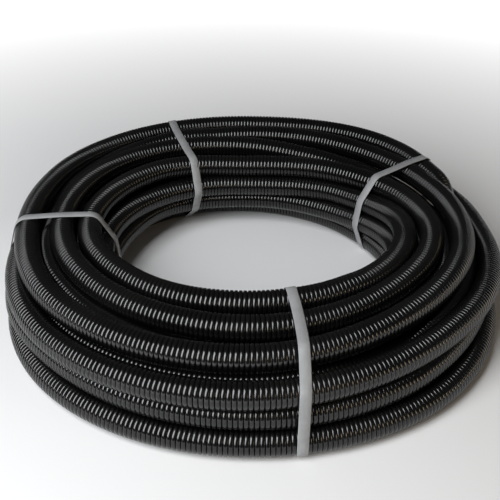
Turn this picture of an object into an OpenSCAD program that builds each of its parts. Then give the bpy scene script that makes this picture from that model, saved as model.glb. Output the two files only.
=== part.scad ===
// Strapped coil of corrugated conduit, lying flat on the ground.
// The conduit is one length, wound in loose layers and turned here as one solid.
// Its two cut ends lie at the foot of the coil, one outside and one inside the hole.
// They have their ribs and their corrugated bore, and the turn beside each climbs clear of it.
// Four flat straps, each a closed loop, hold the layers together.
// Z is the coil's axis and Z = 0 is the ground, which the undersides of the straps touch.

/* [Conduit] */
// Outside diameter of the conduit, measured over its ribs
conduit_d = 32; // [30:0.5:33]
// Distance from one rib to the next
rib_pitch = 5.4; // [4:0.1:6]
// Depth of the grooves between the ribs
rib_depth = 1.9; // [1:0.1:2.5]
// Thickness of the corrugated wall
wall = 0.9; // [0.7:0.1:1.2]

/* [Coil] */
// Centre-line radius of the innermost turn
inner_turn_r = 197; // [190:1:220]
// Height from one layer of turns to the next, which lie partly in each other's grooves
layer_rise = 29; // [28.5:0.5:31]

/* [Cut ends] */
// Ribs on the straight stretch behind each cut
end_ribs = 9; // [6:1:9]

/* [Straps] */
// Width of a strap
strap_w = 12.7; // [9:0.1:16]
// Thickness of a strap
strap_t = 0.8; // [0.5:0.1:1.2]
// Length over which the ends of a strap lap and are welded
lap_l = 36; // [20:1:50]

/* [Hidden] */
$fn = 96;

// Directions of the straps round the coil, in degrees from +X
front_strap_at = -80;
left_strap_at = 184;
back_left_strap_at = 115;
back_right_strap_at = 38;

// Where each foot turn becomes its straight cut end
outer_end_at = 152;
inner_end_at = -64;
// Room in a foot turn for its cut end, and the part of it in which the conduit climbs
room_l = 172;
climb_l = 115;

// Room between a strap and the turns that it holds
strap_gap = 0.2;
// Steps in which a strap bends round a turn
bend_steps = 7;
// How far the surface of a climb lies below its turns, and how deep it starts in the lower one
climb_step = 1;
climb_seat = 4.5;

// Section of the winding. Each place is
// [conduit diameters outward from the innermost turn, layer above the ground].
OUTER_FOOT = [3.89, 0];
OUTER_SECOND = [3.45, 1.05];
OUTER_THIRD = [3.6, 2.2];
TOP_OUTER = [2.83, 3.2];
TOP_MIDDLE = [1.43, 3];
TOP_INNER = [0, 3];
INNER_THIRD = [0.05, 2];
INNER_SECOND = [0.05, 1];
INNER_FOOT = [0.5, 0];
// Turns that lie under the grooves between these
UNDER_OUTER_GROOVE = [2.7, 2];
UNDER_MIDDLE_GROOVE = [1.95, 2.2];
UNDER_INNER_GROOVE = [0.9, 2.1];
// Turn between the feet, and a place in the middle of the hidden turns
UNDERSIDE = [2.5, 0];
MIDDLE = [2.1, 1];

// Outline of the core that stands for the hidden turns, from one turn of the surface to the next
CORE = [
    UNDERSIDE, OUTER_SECOND, OUTER_THIRD, UNDER_OUTER_GROOVE, TOP_OUTER,
    UNDER_MIDDLE_GROOVE, TOP_MIDDLE, UNDER_INNER_GROOVE, TOP_INNER, INNER_THIRD, INNER_SECOND
];
// Turns round which a strap bends, in order
CORNERS = [OUTER_FOOT, OUTER_THIRD, TOP_OUTER, TOP_INNER, INNER_SECOND, INNER_FOOT];

// [radius from the coil's axis, height] of a place in the section
function at(place) =
    [inner_turn_r + place[0] * conduit_d,
     strap_t + strap_gap + conduit_d / 2 + place[1] * layer_rise];
// The same place in space, in the given direction from the axis
function point(place, direction) =
    [at(place)[0] * cos(direction), at(place)[0] * sin(direction), at(place)[1]];
// Degrees round the axis that a length along a turn takes
function sweep(length, place) = length / at(place)[0] * 180 / PI;

module coil_section() {
    for (place = CORE) translate(at(place)) circle(d = conduit_d);
    polygon([for (place = CORE) at(place)]);
}

// Profile of one rib: [share of the pitch, share of the rib's depth]
RIB = [[0, 0], [0.14, 0], [0.24, 1], [0.76, 1], [0.86, 0]];
// A line of ribs with their crests at crest_r, as [radius, distance along the conduit]
function rib_line(crest_r, ribs) = [
    for (n = [0 : ribs - 1], p = RIB)
        [crest_r - rib_depth * (1 - p[1]), (n + p[0]) * rib_pitch]
];

// Straight cut end: from its turn at Z = 0 to the mouth, with a bore from the second rib on
module cut_end() {
    end_l = end_ribs * rib_pitch;
    rotate_extrude() difference() {
        polygon(concat(
            [[0, -rib_pitch], [conduit_d / 2 - rib_depth, -rib_pitch]],
            rib_line(conduit_d / 2, end_ribs),
            [[conduit_d / 2 - rib_depth, end_l], [0, end_l]]));
        translate([0, rib_pitch])
            polygon(concat([[0, 0]], rib_line(conduit_d / 2 - wall, end_ribs),
                [[0, end_l]]));
    }
}

// Straight stretch that climbs from one point to another
module climb(from, to) {
    run = to - from;
    translate(from - climb_seat * run / norm(run))
        rotate([0, acos(run[2] / norm(run)), atan2(run[1], run[0])])
            cylinder(r = conduit_d / 2 - climb_step, h = norm(run) + climb_seat);
}

// Foot turn with its cut end: a ring that leaves room for the end and for the climb to the
// turn above. turn is 1 where the mouth faces counter-clockwise, seen from above, or -1.
module foot_turn(foot, above, beside, end_at, turn) {
    room = sweep(room_l, foot);
    far_side = end_at + turn * room;
    rotate(turn > 0 ? far_side : end_at) rotate_extrude(angle = 360 - room) {
        translate(at(foot)) circle(d = conduit_d);
        polygon([at(foot), at(above), at(MIDDLE), at(beside)]);
    }
    climb(point(foot, far_side), point(above, far_side - turn * sweep(climb_l, foot)));
    translate(point(foot, end_at)) rotate([-90 * turn, 0, end_at]) cut_end();
}

module conduit_coil() {
    color([0.06, 0.06, 0.07]) {
        rotate_extrude() coil_section();
        foot_turn(OUTER_FOOT, OUTER_SECOND, UNDERSIDE, outer_end_at, -1);
        foot_turn(INNER_FOOT, INNER_SECOND, UNDERSIDE, inner_end_at, 1);
    }
}

function corner(i) = at(CORNERS[i % len(CORNERS)]);
// Direction that faces away from the section, square to the stretch after corner i
function facing(i) =
    let (run = corner(i + 1) - corner(i))
    atan2(run[1], run[0]) - 90;
// The same, for the stretch before corner i, taken so that the bend turns one way
function facing_before(i) =
    let (before = facing(i + len(CORNERS) - 1))
    before > facing(i) ? before - 360 : before;

// Outline of the stretched loop at distance r from the centres of the corner turns
function loop_outline(r) = [
    for (i = [0 : len(CORNERS) - 1], s = [0 : bend_steps])
        let (a = facing_before(i) + (facing(i) - facing_before(i)) * s / bend_steps)
        corner(i) + r * [cos(a), sin(a)]
];

// One strap, standing across the coil in the given direction.
// Its welded lap is a second thickness on the middle of the stretch after corner i.
module strap(direction, i) {
    inside = conduit_d / 2 + strap_gap;
    color([0.5, 0.51, 0.52]) rotate([90, 0, direction]) translate([0, 0, -strap_w / 2])
        linear_extrude(strap_w) {
            difference() {
                polygon(loop_outline(inside + strap_t));
                polygon(loop_outline(inside));
            }
            translate((corner(i) + corner(i + 1)) / 2) rotate(facing(i))
                translate([inside + strap_t / 2, -lap_l / 2])
                    square([strap_t * 1.5, lap_l]);
        }
}

OUTER_FACE = 0;
INNER_FACE = 3;
module strap_front() strap(front_strap_at, INNER_FACE);
module strap_left() strap(left_strap_at, INNER_FACE);
module strap_back_left() strap(back_left_strap_at, OUTER_FACE);
module strap_back_right() strap(back_right_strap_at, OUTER_FACE);

conduit_coil();
strap_front();
strap_left();
strap_back_left();
strap_back_right();
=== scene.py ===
"""Looks of the strapped coil of corrugated conduit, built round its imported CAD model.

The conduit is one spiral with real ribs, and its two cut ends have their corrugated bore.
Lengths named in diameters are in the conduit's outside diameter. All else is in metres.
"""
import math

import bpy
import numpy as np
from mathutils import Matrix, Vector


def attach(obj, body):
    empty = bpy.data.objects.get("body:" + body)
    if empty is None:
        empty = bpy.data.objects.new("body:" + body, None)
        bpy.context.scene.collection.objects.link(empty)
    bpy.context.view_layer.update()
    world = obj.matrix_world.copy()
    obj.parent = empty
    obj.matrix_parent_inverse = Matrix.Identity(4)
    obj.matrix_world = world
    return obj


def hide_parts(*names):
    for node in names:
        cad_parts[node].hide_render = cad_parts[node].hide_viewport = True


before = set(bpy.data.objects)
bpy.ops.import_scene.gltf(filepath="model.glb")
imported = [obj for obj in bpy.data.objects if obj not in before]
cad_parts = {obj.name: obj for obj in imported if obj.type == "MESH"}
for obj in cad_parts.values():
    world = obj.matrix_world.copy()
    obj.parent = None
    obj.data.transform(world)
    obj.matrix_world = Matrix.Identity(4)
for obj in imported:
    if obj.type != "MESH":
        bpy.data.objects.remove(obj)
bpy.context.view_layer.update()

# The conduit and the straps, as in the CAD model
DIAMETER = 0.032
RIB_PITCH = 0.0054
RIB_DEPTH = 0.0019
WALL = 0.0009
END_RIBS = 9
STRAP_WIDTH = 0.0127
STRAP_THICKNESS = 0.0008
STRAP_GAP = 0.0002
LAP_LENGTH = 0.036
FOOT = STRAP_THICKNESS + STRAP_GAP

# Radius at which a strap's direction is given, and the length of its steps
STRAP_MIDDLE = 8.2 * DIAMETER
STRAP_STEP = 0.003
# Each strap's direction from the axis, in degrees, how many degrees it leans for each diameter
# on the way out, and the face of the coil on which its ends lap
STRAPS = {
    "strap_front": (-78.0, -1.0, "inside"),
    "strap_left": (184.0, 1.0, "inside"),
    "strap_back_left": (116.4, -1.05, "outside"),
    "strap_back_right": (33.0, 0.9, "outside"),
}

# ---------------------------------------------------------------------------
# The winding
# ---------------------------------------------------------------------------
# One turn after another, from the inner cut end out. Each turn gives the radius and the height
# of the conduit's centre, in diameters, at eight directions: it starts at the back of the coil
# and goes clockwise, seen from above, in steps of 45 degrees.
INNER_WALL_LOW = (
    [7.0, 7.0, 7.0, 6.54, 6.6, 6.9, 7.3, 7.5],
    [0.5, 0.5, 0.5, 0.5, 0.5, 0.5, 0.5, 0.5],
)
INNER_WALL_THIRD = (
    [7.0, 6.65, 6.5, 6.5, 6.3, 6.3, 6.2, 6.37],
    [0.5, 0.5, 0.8, 1.42, 1.4, 1.4, 1.4, 1.4],
)
INNER_WALL_SECOND = (
    [5.85, 6.0, 6.4, 6.2, 6.1, 6.3, 6.3, 5.98],
    [1.4, 1.5, 2.0, 2.3, 2.3, 2.3, 2.3, 2.33],
)
TOP_INNER = (
    [5.4, 6.15, 6.48, 6.05, 5.84, 6.27, 6.8, 6.48],
    [2.35, 2.4, 3.1, 3.15, 3.15, 3.15, 3.25, 3.35],
)
TOP_MIDDLE = (
    [5.6, 6.5, 7.55, 7.02, 7.13, 7.45, 8.0, 8.3],
    [3.25, 3.3, 3.25, 3.15, 3.15, 3.2, 3.3, 3.42],
)
UNDER_TOP = (
    [7.5, 7.8, 8.2, 7.7, 7.95, 8.3, 8.65, 9.05],
    [3.4, 2.7, 2.5, 2.4, 2.45, 2.5, 2.55, 3.0],
)
TOP_OUTER = (
    [8.97, 8.93, 8.82, 8.32, 8.72, 9.1, 9.4, 10.15],
    [3.42, 3.4, 3.25, 3.15, 3.15, 3.2, 3.3, 3.42],
)
BEHIND_OUTER = (
    [10.32, 10.27, 9.0, 8.6, 8.83, 8.97, 8.65, 8.8],
    [3.42, 3.4, 2.3, 2.05, 2.2, 2.25, 1.7, 2.0],
)
OUTER_THIRD = (
    [9.8, 10.45, 9.95, 9.4, 9.74, 9.9, 9.57, 9.75],
    [2.5, 2.45, 2.3, 2.5, 2.5, 2.5, 2.5, 2.0],
)
OUTER_SECOND = (
    [9.6, 9.6, 9.5, 9.5, 9.6, 9.6, 9.6, 9.7],
    [1.45, 1.45, 1.45, 1.45, 1.45, 1.45, 1.45, 1.3],
)
OUTER_FOOT = (
    [10.04, 10.04, 9.95, 10.05, 9.87, 10.0, 9.82, 10.0],
    [0.5, 0.5, 0.5, 0.5, 0.5, 0.5, 0.5, 0.5],
)
WINDING = [
    INNER_WALL_LOW, INNER_WALL_THIRD, INNER_WALL_SECOND, TOP_INNER, TOP_MIDDLE, UNDER_TOP,
    TOP_OUTER, BEHIND_OUTER, OUTER_THIRD, OUTER_SECOND, OUTER_FOOT,
]
# Turns inside the coil, of which little shows, given in the same way
HIDDEN_TURNS = [
    ([8.66] * 8, [0.5] * 8),
    ([7.3] * 8, [1.45] * 8),
    ([8.75, 8.75, 8.6, 8.5, 8.5, 8.5, 8.3, 8.6], [1.95, 1.95, 1.7, 1.4, 1.4, 1.4, 1.45, 1.8]),
    ([7.0, 7.15, 7.3, 7.15, 7.15, 7.15, 7.3, 7.3], [2.3, 2.4, 2.4, 2.2, 2.2, 2.2, 2.3, 2.3]),
]
# Directions in which the two cut ends begin, in degrees
INNER_END_AT = -64.0
OUTER_END_AT = 152.0
# How far past its end, in eighths of a turn, the winding still holds other turns off
END_REACH = 0.3
# How easily each turn is pushed aside by the others where they are wound too tightly
YIELD = [0.3, 0.3, 0.1, 0.1, 0.1, 1.0, 0.1, 1.0, 0.15, 1.0, 0.02] + [1.0] * len(HIDDEN_TURNS)
# Centres of two turns that touch are this far apart, since their ribs mesh
TOUCH = 0.965
# How often the turns push each other apart, and what share of an overlap they give way each time
SETTLING = 150
SETTLING_SHARE = 0.5
# Times that a push is spread along the conduit
SPREADING = 3

# Places given for each turn, and the steps between two of them while the turns settle
STEPS = 8
FINE = 16
START = (90.0 - INNER_END_AT) / 45.0
END = STEPS * len(WINDING) + (90.0 - OUTER_END_AT) / 45.0


def smooth(values, at):
    """Curve through evenly spaced values (Catmull-Rom), read at the places given."""
    values = np.asarray(values, float)
    first = np.clip(np.floor(at).astype(int), 0, len(values) - 2)
    t = at - first

    def near(k):
        return values[np.clip(first + k, 0, len(values) - 1)]

    return 0.5 * (
        2 * near(0)
        + (near(1) - near(-1)) * t
        + (2 * near(-1) - 5 * near(0) + 4 * near(1) - near(2)) * t**2
        + (3 * near(0) - near(-1) - 3 * near(1) + near(2)) * t**3
    )


def soften(rows, turns):
    """Spread a push along the conduit, which is too stiff to bend sharply."""
    line = rows[:turns].reshape(-1, 2)
    for _ in range(SPREADING):
        padded = np.vstack([line[:1], line, line[-1:]])
        line = (padded[:-2] + 2 * padded[1:-1] + padded[2:]) / 4
    loops = rows[turns:]
    for _ in range(SPREADING):
        loops = (np.roll(loops, 1, axis=1) + 2 * loops + np.roll(loops, -1, axis=1)) / 4
    return np.concatenate([line.reshape(turns, -1, 2), loops])


def settle():
    """Places of all turns, [turn, direction, (radius, height)], once they have pushed apart."""
    turns = len(WINDING)
    around = STEPS * FINE
    at = np.arange(turns * around) / FINE
    places = np.stack([
        smooth([r for turn in WINDING for r in turn[0]], at),
        smooth([h for turn in WINDING for h in turn[1]], at)], -1).reshape(turns, around, 2)
    there = ((at > START - END_REACH) & (at < END + END_REACH)).reshape(turns, around)
    once = np.arange(around) / FINE + STEPS
    loops = np.stack([np.stack([smooth(values * 3, once) for values in turn], -1)
                      for turn in HIDDEN_TURNS])
    places = np.concatenate([places, loops])
    there = np.concatenate([there, np.ones(loops.shape[:2], bool)])
    give = np.array(YIELD)
    share = give[:, None] / (give[:, None] + give[None])
    for _ in range(SETTLING):
        apart = places[:, None] - places[None]
        length = np.linalg.norm(apart, axis=-1) + 1e-6
        short = np.clip(TOUCH - length, 0, None) * there[:, None] * there[None]
        short[np.arange(len(places)), np.arange(len(places))] = 0
        push = (apart / length[..., None] * (short * share[..., None])[..., None]).sum(1)
        places = places + SETTLING_SHARE * soften(push, turns)
        # No centre is lower than half a diameter, where the conduit touches the ground
        places[..., 1] = np.maximum(places[..., 1], 0.5)
    return places


SETTLED = settle()


def place(at):
    """Centre of the conduit, where at counts eighths of a turn from the back of the first one."""
    at = np.asarray(at, float)
    line = SETTLED[:len(WINDING)].reshape(-1, 2)
    radius = smooth(line[:, 0], at * FINE)
    height = smooth(line[:, 1], at * FINE)
    # A length of conduit is never quite even
    radius = radius + 0.018 * np.sin(at * 2.3 + 1.0) + 0.012 * np.sin(at * 5.1)
    angle = np.radians(90.0 - 45.0 * at)
    return np.stack(
        [radius * DIAMETER * np.cos(angle), radius * DIAMETER * np.sin(angle),
         height * DIAMETER + FOOT], -1)


def whole_line():
    """Points along the whole conduit, with a straight stretch at each cut end."""
    line = place(np.arange(START, END, 0.01))
    tail = np.linspace(0, END_RIBS * RIB_PITCH, 50)[1:, None]

    def flat(v):
        v = np.array([v[0], v[1], 0.0])
        return v / np.linalg.norm(v)

    inner = line[0] + tail[::-1] * flat(line[0] - line[1])
    outer = line[-1] + tail * flat(line[-1] - line[-2])
    return np.vstack([inner, line, outer])


class Line:
    """A line that is read by the distance along it."""

    # Distance to each side over which the line's direction is measured
    REACH = 0.004

    def __init__(self, points):
        self.points = points
        self.run = np.concatenate([[0], np.cumsum(np.linalg.norm(np.diff(points, axis=0), axis=1))])
        self.length = self.run[-1]

    def at(self, distance):
        return np.stack([np.interp(distance, self.run, self.points[:, k]) for k in range(3)], -1)

    def frames(self, distance):
        """Point, sideways and upward directions at each distance."""
        point = self.at(distance)
        ahead = self.at(np.minimum(distance + self.REACH, self.length))
        behind = self.at(np.maximum(distance - self.REACH, 0))
        way = ahead - behind
        way /= np.linalg.norm(way, axis=1)[:, None]
        side = np.cross(way, [0, 0, 1])
        side /= np.linalg.norm(side, axis=1)[:, None]
        return point, side, np.cross(side, way)


# ---------------------------------------------------------------------------
# Meshes
# ---------------------------------------------------------------------------
def new_object(name, vertices, faces, material, smooth_angle=40.0, normals=None):
    """An object, smooth below an angle between faces or by the normals given for its corners."""
    mesh = bpy.data.meshes.new(name)
    mesh.from_pydata(np.asarray(vertices).tolist(), [], faces)
    mesh.polygons.foreach_set("use_smooth", [True] * len(mesh.polygons))
    if normals is None:
        mesh.set_sharp_from_angle(angle=math.radians(smooth_angle))
    else:
        mesh.normals_split_custom_set(normals.tolist())
    mesh.materials.append(material)
    mesh.update()
    obj = bpy.data.objects.new(name, mesh)
    bpy.context.scene.collection.objects.link(obj)
    return obj


def rings(line, distances, radii, around):
    """Rings of points round a line, one at each distance, with the radius given for it."""
    point, side, up = line.frames(distances)
    turn = np.linspace(0, 2 * math.pi, around, endpoint=False)
    out = side[:, None] * np.cos(turn)[None, :, None] + up[:, None] * np.sin(turn)[None, :, None]
    return (point[:, None] + out * np.asarray(radii)[:, None, None]).reshape(-1, 3)


def skin(ring_count, around, first=0, inward=False):
    """Faces between neighbouring rings."""
    faces = []
    for i in range(ring_count - 1):
        a = first + i * around
        for j in range(around):
            k = (j + 1) % around
            face = (a + j, a + k, a + around + k, a + around + j)
            faces.append(face[::-1] if inward else face)
    return faces


# Profile of one rib: [share of the pitch, share of the rib's depth, and the lean of the surface
# there, in degrees, on the near side and on the far side]. The crest is flat with round shoulders.
RIB = [(0.0, 0.0, -72, 72), (0.2, 0.97, 20, 20), (0.8, 0.97, -20, -20)]


def rib_rings(first, last, crest):
    """Distances, radii and leans of the rings of ribs first to last."""
    number = np.repeat(np.arange(first, last), len(RIB))
    share, rise, near, far = (np.tile(column, last - first) for column in zip(*RIB))
    leans = np.radians(np.stack([near, far], -1))
    return (number + share) * RIB_PITCH, crest - RIB_DEPTH * (1 - rise), leans


def ribbed(name, line, first, last, around, material):
    """A length of corrugated conduit, open at both ends."""
    distance, radius, leans = rib_rings(first, last, DIAMETER / 2)
    groove = DIAMETER / 2 - RIB_DEPTH
    distance = np.append(distance, last * RIB_PITCH)
    radius = np.append(radius, groove)
    leans = np.vstack([leans, leans[:1]])
    vertices = rings(line, distance, radius, around)
    # Directions in which the surface faces at the corners of each face
    point, side, up = line.frames(distance)
    way = np.cross(up, side)[:, None]
    turn = np.linspace(0, 2 * math.pi, around, endpoint=False)[None, :, None]
    out = side[:, None] * np.cos(turn) + up[:, None] * np.sin(turn)
    near, far = (out * np.cos(leans[:, k, None, None]) - way * np.sin(leans[:, k, None, None])
                 for k in (0, 1))
    start, end = far[:-1], near[1:]
    corners = [end, np.roll(end, -1, axis=1), np.roll(start, -1, axis=1), start]
    normals = np.stack(corners, 2).reshape(-1, 3)
    return new_object(name, vertices, skin(len(distance), around, inward=True), material,
                      normals=normals)


def bore(name, line, ribs, at_start, around, material):
    """Inside of a cut end: its lip, its corrugated bore and a black wall that closes it behind, a
    painted shadow standing in for the dark depth of the open bore.
    """
    distance, radius, _ = rib_rings(0, ribs, DIAMETER / 2 - WALL)
    distance = np.concatenate([[0, 0], distance, [ribs * RIB_PITCH] * 2])
    groove = DIAMETER / 2 - RIB_DEPTH
    # The last ring shrinks almost to the axis: a black wall in the bore, put there as painted
    # shadow for its dark depth
    radius = np.concatenate([[groove, groove - WALL], radius, [groove - WALL, 0.0005]])
    if not at_start:
        distance = line.length - distance
    vertices = rings(line, distance, radius, around)
    return new_object(name, vertices, skin(len(distance), around, inward=at_start), material)


# ---------------------------------------------------------------------------
# Materials
# ---------------------------------------------------------------------------
def new_material(name):
    material = bpy.data.materials.new(name)
    material.use_nodes = True
    nodes = material.node_tree.nodes
    return material, nodes, material.node_tree.links, nodes["Principled BSDF"]


def noise(nodes, links, coordinates, scale, detail):
    texture = nodes.new("ShaderNodeTexNoise")
    texture.inputs["Scale"].default_value = scale
    texture.inputs["Detail"].default_value = detail
    links.new(coordinates, texture.inputs["Vector"])
    return texture.outputs["Fac"]


def to_range(nodes, links, value, low, high, from_low=0.3, from_high=0.7):
    step = nodes.new("ShaderNodeMapRange")
    step.inputs["From Min"].default_value = from_low
    step.inputs["From Max"].default_value = from_high
    step.inputs["To Min"].default_value = low
    step.inputs["To Max"].default_value = high
    links.new(value, step.inputs["Value"])
    return step.outputs["Result"]


def maths(nodes, links, operation, *values):
    """One step of arithmetic. Each value is a number or another node's output."""
    step = nodes.new("ShaderNodeMath")
    step.operation = operation
    for socket, value in zip(step.inputs, values):
        if isinstance(value, float):
            socket.default_value = value
        else:
            links.new(value, socket)
    return step.outputs[0]


def blend(nodes, links, share, first, second):
    """A colour between two colours."""
    mix = nodes.new("ShaderNodeMix")
    mix.data_type = "RGBA"
    mix.inputs[6].default_value = first
    mix.inputs[7].default_value = second
    links.new(share, mix.inputs[0])
    return mix.outputs[2]


def add_bumps(nodes, links, shader, height, strength, distance):
    bump = nodes.new("ShaderNodeBump")
    bump.inputs["Strength"].default_value = strength
    bump.inputs["Distance"].default_value = distance
    links.new(height, bump.inputs["Height"])
    links.new(bump.outputs["Normal"], shader.inputs["Normal"])


def conduit_material():
    """Glossy black polypropylene, slightly uneven, with a faint haze from handling."""
    material, nodes, links, shader = new_material("conduit_black")
    where = nodes.new("ShaderNodeTexCoord").outputs["Object"]
    haze = noise(nodes, links, where, 9.0, 4.0)
    grain = noise(nodes, links, where, 420.0, 2.0)
    colour = blend(nodes, links, to_range(nodes, links, haze, 0.0, 1.0),
                   (0.0018, 0.0018, 0.002, 1), (0.0045, 0.0044, 0.0042, 1))
    links.new(colour, shader.inputs["Base Color"])
    links.new(to_range(nodes, links, haze, 0.14, 0.22), shader.inputs["Roughness"])
    shader.inputs["Specular IOR Level"].default_value = 0.6
    add_bumps(nodes, links, shader, grain, 0.12, 0.0002)
    return material


# Distance from one embossed diamond to the next, and how strongly the colour is painted lighter on
# the raised diamonds and darker in the hollows between them, a painted light and shade of the
# embossing
DIAMOND = 0.0024
DIAMOND_PAINTED_SHADE = 0.28


def strap_material():
    """Grey polypropylene strapping, embossed with small diamonds, its colour painted lighter on the
    raised diamonds and darker in their hollows as painted light and shade.
    """
    material, nodes, links, shader = new_material("strap_grey")
    uv = nodes.new("ShaderNodeUVMap")
    uv.uv_map = "along"
    split = nodes.new("ShaderNodeSeparateXYZ")
    links.new(uv.outputs["UV"], split.inputs[0])

    def wave(sign):
        slanted = maths(nodes, links, "MULTIPLY_ADD", split.outputs["Y"], sign, split.outputs["X"])
        angle = maths(nodes, links, "MULTIPLY", slanted, 2 * math.pi / DIAMOND)
        return maths(nodes, links, "SINE", angle)

    diamonds = maths(nodes, links, "MULTIPLY", wave(1.0), wave(-1.0))
    where = nodes.new("ShaderNodeTexCoord").outputs["Object"]
    wear = noise(nodes, links, where, 60.0, 4.0)
    # The colour mixes random wear with painted shade: darker in the hollows of the embossing and
    # lighter on the raised diamonds
    share = maths(nodes, links, "MULTIPLY_ADD", diamonds, DIAMOND_PAINTED_SHADE,
                  to_range(nodes, links, wear, 0.2, 0.8))
    colour = blend(nodes, links, share, (0.26, 0.265, 0.27, 1), (0.36, 0.365, 0.37, 1))
    links.new(colour, shader.inputs["Base Color"])
    shader.inputs["Roughness"].default_value = 0.42
    add_bumps(nodes, links, shader, diamonds, 0.6, 0.00025)
    return material


# ---------------------------------------------------------------------------
# The conduit
# ---------------------------------------------------------------------------
# Corners round the conduit: on the turns that show most, on the others, and inside the coil
AROUND_FINE = 32
AROUND = 26
AROUND_HIDDEN = 14
FINE_TURNS = {3, 4, 6, 7, 8, 10}


def ribs_at_turn_ends(line, rib_count):
    """Ribs at which each turn begins and ends, so that each is a piece of its own."""
    marks = [0]
    for turn in range(1, len(WINDING)):
        here = place(np.array([float(STEPS * turn)]))[0]
        nearest = np.argmin(np.linalg.norm(line.points - here, axis=1))
        marks.append(int(line.run[nearest] / RIB_PITCH))
    return marks + [rib_count]


def wound_conduit(material):
    """The spiral, one piece for each turn, and the bores of its two cut ends."""
    line = Line(whole_line())
    rib_count = int(line.length / RIB_PITCH)
    marks = ribs_at_turn_ends(line, rib_count)
    pieces = [ribbed(f"conduit_turn_{turn + 1}", line, marks[turn], marks[turn + 1],
                     AROUND_FINE if turn in FINE_TURNS else AROUND, material)
              for turn in range(len(WINDING))]
    line.length = rib_count * RIB_PITCH
    bore_ribs = END_RIBS - 1
    pieces.append(bore("conduit_inner_mouth", line, bore_ribs, True, AROUND_FINE, material))
    pieces.append(bore("conduit_outer_mouth", line, bore_ribs, False, AROUND_FINE, material))
    return pieces


def hidden_conduit(material):
    """The turns inside the coil, each a ring of its own."""
    pieces = []
    for number, turn in enumerate(SETTLED[len(WINDING):]):
        angle = np.radians(90.0 - np.arange(len(turn) + 1) * 45.0 / FINE)
        turn = np.vstack([turn, turn[:1]]) * DIAMETER
        ring = Line(np.stack([turn[:, 0] * np.cos(angle), turn[:, 0] * np.sin(angle),
                              turn[:, 1] + FOOT], -1))
        pieces.append(ribbed(f"conduit_hidden_turn_{number + 1}", ring, 0,
                             int(ring.length / RIB_PITCH), AROUND_HIDDEN, material))
    return pieces


black = conduit_material()
for piece in wound_conduit(black) + hidden_conduit(black):
    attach(piece, "root")
    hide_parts("conduit_coil")


# ---------------------------------------------------------------------------
# The straps
# ---------------------------------------------------------------------------
def crossings(direction, lean):
    """[radius, height] of every place where the conduit passes under the strap, in metres."""
    here = np.full(len(WINDING) + 2, direction)
    for _ in range(4):
        at = (90.0 - here) / 45.0 + STEPS * np.arange(-1, len(WINDING) + 1)
        points = place(np.clip(at, START, END))
        radius = np.hypot(points[:, 0], points[:, 1])
        here = direction + lean * (radius - STRAP_MIDDLE) / DIAMETER
    found = (at > START) & (at < END)
    return np.stack([radius, points[:, 2]], -1)[found]


def loop_round(centres, reach):
    """Outline of a loop stretched round circles of radius reach, with its outward directions."""
    turn = np.radians(np.arange(0, 360, 3.0))
    ring = np.stack([np.cos(turn), np.sin(turn)], -1)
    # Seen from each direction, the farthest circle carries the loop
    carrier = np.argmax(centres @ ring.T, axis=0)
    points = centres[carrier] + ring * reach
    closed = np.vstack([points, points[:1]])
    lengths = np.linalg.norm(np.diff(closed, axis=0), axis=1)
    run = np.concatenate([[0], np.cumsum(lengths)])
    where = np.arange(0, run[-1], run[-1] / round(run[-1] / STRAP_STEP))
    outline = np.stack([np.interp(where, run, closed[:, k]) for k in (0, 1)], -1)
    way = np.roll(outline, -1, axis=0) - np.roll(outline, 1, axis=0)
    way /= np.linalg.norm(way, axis=1)[:, None]
    return outline, np.stack([way[:, 1], -way[:, 0]], -1), where


def strap_section():
    """Section of a strap, [across, outward]: flat, with slightly rounded edges."""
    half = STRAP_WIDTH / 2
    edge = STRAP_THICKNESS * 0.35
    return [(-half, edge), (-half + edge, 0), (half - edge, 0), (half, edge),
            (half, STRAP_THICKNESS - edge), (half - edge, STRAP_THICKNESS),
            (-half + edge, STRAP_THICKNESS), (-half, STRAP_THICKNESS - edge)]


def swept(section, centre, across, normal):
    """The section's points at each place along the strap."""
    return np.stack([centre + across * a + normal * n for a, n in section], 1).reshape(-1, 3)


def strap_skin(section, rows, first, closed, spans):
    """Faces between rows of the section, from vertex first on, with their places on the strap."""
    k = len(section)
    faces = []
    uvs = []
    for i in range(rows if closed else rows - 1):
        here = first + i * k
        after = first + (i + 1) % rows * k
        for j in range(k):
            beside = (j + 1) % k
            faces.append((here + j, here + beside, after + beside, after + j))
            left, right = section[j][0], section[beside][0]
            uvs += [(spans[i], left), (spans[i], right), (spans[i + 1], right),
                    (spans[i + 1], left)]
    return faces, uvs


def lap_places(outline, outward, lap_side):
    """Steps of the strap that its lap covers, on the upright face on that side of the coil."""
    radius, height = outline.T
    if lap_side == "inside":
        beside, raised = radius < STRAP_MIDDLE - 0.02, 0.012
    else:
        beside, raised = radius > STRAP_MIDDLE + 0.02, 0
    upright = np.abs(outward[:, 1]) < 0.35
    choices = np.where(beside & upright)[0]
    level = height[choices].mean() + raised
    middle = choices[np.argmin(np.abs(height[choices] - level))]
    reach = int(LAP_LENGTH / 2 / STRAP_STEP)
    return np.arange(middle - reach, middle + reach + 1) % len(outline)


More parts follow.
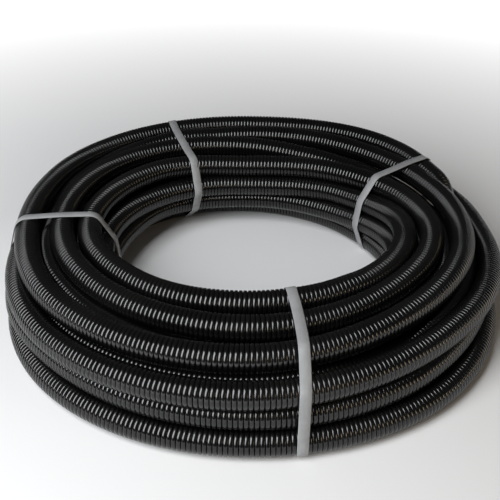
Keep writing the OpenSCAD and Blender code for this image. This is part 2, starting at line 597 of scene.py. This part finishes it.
def strap(name, direction, lean, lap_side, material):
    """One strap: a flat band round the winding, with a second thickness where its ends lap."""
    outline, outward, run = loop_round(crossings(direction, lean), DIAMETER / 2 + STRAP_GAP)
    count = len(outline)
    angle = np.radians(direction + lean * (outline[:, 0] - STRAP_MIDDLE) / DIAMETER)
    radial = np.stack([np.cos(angle), np.sin(angle), np.zeros(count)], -1)
    across = np.stack([-np.sin(angle), np.cos(angle), np.zeros(count)], -1)
    centre = radial * outline[:, :1] + np.array([0, 0, 1]) * outline[:, 1:]
    normal = radial * outward[:, :1] + np.array([0, 0, 1]) * outward[:, 1:]
    section = strap_section()
    k = len(section)
    band = swept(section, centre, across, normal)
    faces, uvs = strap_skin(section, count, 0, True, np.append(run, run[-1] + STRAP_STEP))
    # The lap is a hair narrower and lies just clear of the band
    lap_at = lap_places(outline, outward, lap_side)
    lap_section = [(a * 0.985, n + STRAP_THICKNESS * 1.02) for a, n in section]
    lap = swept(lap_section, centre[lap_at], across[lap_at], normal[lap_at])
    lap_faces, lap_uvs = strap_skin(section, len(lap_at), len(band), False,
                                    np.arange(len(lap_at)) * STRAP_STEP)
    first_end = [len(band) + j for j in range(k)]
    last_end = [len(band) + (len(lap_at) - 1) * k + j for j in range(k)]
    faces += lap_faces + [tuple(first_end), tuple(last_end[::-1])]
    uvs += lap_uvs + [(0.0, 0.0)] * (2 * k)
    obj = new_object(name + "_band", np.vstack([band, lap]), faces, material, 50.0)
    layer = obj.data.uv_layers.new(name="along")
    layer.data.foreach_set("uv", [c for uv in uvs for c in uv])
    return obj


grey = strap_material()
for name, (direction, lean, lap_side) in STRAPS.items():
    band = strap(name, direction, lean, lap_side, grey)
    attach(band, "root")
    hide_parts(name)


# ---------------------------------------------------------------------------
# Floor, lights and camera
# ---------------------------------------------------------------------------
FLOOR_REACH = 9.0


def add_floor():
    """White floor, wide enough to reach past the frame on all sides."""
    mesh = bpy.data.meshes.new("floor")
    corners = [(-FLOOR_REACH, -FLOOR_REACH, 0), (FLOOR_REACH, -FLOOR_REACH, 0),
               (FLOOR_REACH, FLOOR_REACH, 0), (-FLOOR_REACH, FLOOR_REACH, 0)]
    mesh.from_pydata(corners, [], [(0, 1, 2, 3)])
    floor = bpy.data.objects.new("floor", mesh)
    bpy.context.scene.collection.objects.link(floor)
    material, nodes, links, shader = new_material("floor_white")
    shader.inputs["Base Color"].default_value = (0.8, 0.8, 0.8, 1)
    shader.inputs["Roughness"].default_value = 0.9
    shader.inputs["Specular IOR Level"].default_value = 0.0
    # Away from the lamps the floor stays white to the eye and in reflections
    where = nodes.new("ShaderNodeTexCoord").outputs["Object"]
    distance = nodes.new("ShaderNodeVectorMath")
    distance.operation = "LENGTH"
    links.new(where, distance.inputs[0])
    far = to_range(nodes, links, distance.outputs["Value"], 0.0, 1.0, 0.45, 1.6)
    path = nodes.new("ShaderNodeLightPath").outputs
    seen = maths(nodes, links, "MAXIMUM", path["Is Camera Ray"], path["Is Glossy Ray"])
    seen = maths(nodes, links, "MAXIMUM", seen, path["Is Transmission Ray"])
    shader.inputs["Emission Color"].default_value = (1, 1, 1, 1)
    links.new(maths(nodes, links, "MULTIPLY", far, seen), shader.inputs["Emission Strength"])
    mesh.materials.append(material)


def add_world():
    world = bpy.data.worlds.new("studio")
    bpy.context.scene.world = world
    world.use_nodes = True
    background = world.node_tree.nodes["Background"]
    background.inputs["Color"].default_value = (1, 1, 1, 1)
    background.inputs["Strength"].default_value = 0.05


def add_light(name, position, aim, size, power, colour):
    data = bpy.data.lights.new(name, "AREA")
    data.shape = "RECTANGLE"
    data.size, data.size_y = size
    data.energy = power
    data.color = colour
    light = bpy.data.objects.new(name, data)
    light.location = position
    light.rotation_mode = "QUATERNION"
    light.rotation_quaternion = (Vector(aim) - Vector(position)).to_track_quat("-Z", "Y")
    bpy.context.scene.collection.objects.link(light)


def add_camera():
    data = bpy.data.cameras.new("camera")
    data.sensor_width = 36.0
    data.lens = 54.7
    camera = bpy.data.objects.new("camera", data)
    bpy.context.scene.collection.objects.link(camera)
    pitch = math.radians(31.88)
    yaw = math.radians(0.02)
    roll = math.radians(0.82)
    forward = Vector((math.sin(yaw) * math.cos(pitch), math.cos(yaw) * math.cos(pitch),
                      -math.sin(pitch)))
    level = Vector((math.cos(yaw), -math.sin(yaw), 0))
    above = level.cross(forward)
    right = level * math.cos(roll) + above * math.sin(roll)
    up = above * math.cos(roll) - level * math.sin(roll)
    turn = Matrix((right, up, -forward)).transposed()
    camera.matrix_world = Matrix.Translation((-0.0022, -0.8958, 0.6194)) @ turn.to_4x4()
    bpy.context.scene.camera = camera


add_floor()
add_world()
# A tall softbox in front, on the left, and a small warm lamp on the right
add_light("key", (-0.75, -0.97, 1.12), (-0.1, -0.2, 0.1), (0.8, 1.6), 36.0, (0.97, 0.985, 1.0))
add_light("warm", (1.45, -0.9, 0.5), (0.1, -0.1, 0.05), (0.6, 0.5), 4.0, (1.0, 0.8, 0.55))
add_camera()

bpy.context.scene.view_settings.view_transform = "Standard"
